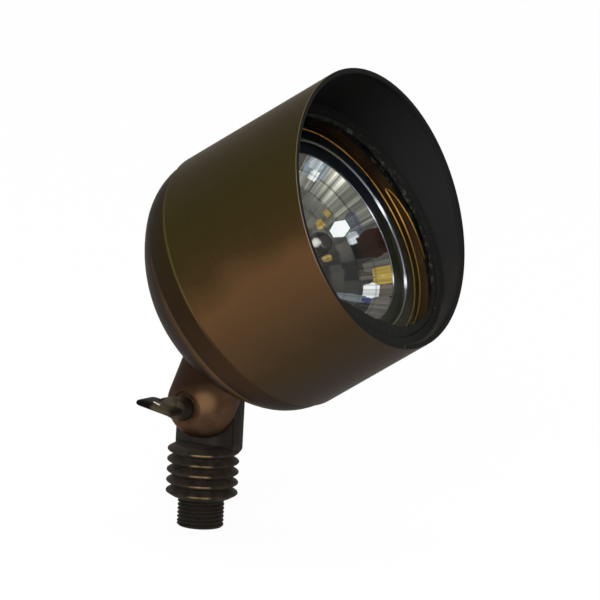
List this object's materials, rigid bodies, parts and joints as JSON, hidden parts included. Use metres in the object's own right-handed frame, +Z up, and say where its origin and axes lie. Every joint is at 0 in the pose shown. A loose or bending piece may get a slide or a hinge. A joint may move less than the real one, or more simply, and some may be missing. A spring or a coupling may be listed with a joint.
{
  "type": "landscape spotlight",
  "caption": "Aged-bronze landscape spotlight: bowl-backed lamp housing with a slanted hood, tilting on a thumb-screw knuckle above a finned stem with a threaded nipple.",
  "frame": {"origin": "middle of the nipple's lower end, on the stem axis", "axes": "+Z up the stem, +X the way the beam leans, Y along the tilt axis with the thumb screw on the -Y side"},
  "size_m": [0.1316, 0.124, 0.2149],
  "materials": {
    "stem_bronze": "dark aged cast bronze",
    "bowl_bronze": "brown aged bronze, satin",
    "arm_bronze": "coppery aged bronze, satin",
    "hood_bronze": "brushed aged bronze, satin",
    "thumb_bronze": "olive aged bronze, worn bright at edges",
    "set_screw_bronze": "dark aged bronze",
    "spring_bronze": "bright spring bronze",
    "terminal_brass": "bright brass",
    "screw_steel": "plain stainless steel",
    "seal_rubber": "black rubber",
    "gasket_rubber": "matt black silicone",
    "reflector_mirror": "silvered facets",
    "lamp_glass": "clear pressed glass",
    "capsule_glass": "clear quartz",
    "lens_glass": "clear flat glass",
    "base_ceramic": "pale ceramic",
    "cap_metal": "polished"
  },
  "bodies": {
    "stem": {"stem_casting": "stem_bronze", "knuckle_seal": "seal_rubber", "lead_plug": "seal_rubber"},
    "head": {"rear_housing": "bowl_bronze", "hood_seal": "seal_rubber", "knuckle_arm": "arm_bronze", "arm_screws": "screw_steel", "lead_grommet": "seal_rubber", "lamp_gasket": "gasket_rubber", "lamp_reflector": "reflector_mirror", "lamp_cover": "lamp_glass", "lamp_base": "base_ceramic", "lamp_capsule": "capsule_glass", "glare_cap": "cap_metal", "lamp_terminals": "terminal_brass", "terminal_screws": "terminal_brass", "lamp_spring_wire": "spring_bronze"},
    "hood": {"hood": "hood_bronze", "lens_ring": "hood_bronze", "hood_set_screw": "set_screw_bronze", "front_gasket": "gasket_rubber", "lens": "lens_glass", "rear_gasket": "gasket_rubber"},
    "thumb_screw": {"thumb_washer": "thumb_bronze", "thumb_screw": "thumb_bronze"}
  },
  "joints": [
    {"name": "head_tilt", "type": "hinge", "parent": "stem", "child": "head", "pos_m": [0, 0, 0.0565], "axis": [0, -1, 0], "range_deg": [-45, 75]},
    {"name": "hood_turn", "type": "hinge", "parent": "head", "child": "hood", "pos_m": [0.02383, 0, 0.11513], "axis": [0.83, 0, 0.5577], "continuous": true},
    {"name": "thumb_screw_turn", "type": "hinge", "parent": "stem", "child": "thumb_screw", "pos_m": [0, 0, 0.0565], "axis": [0, -1, 0], "continuous": true}
  ]
}
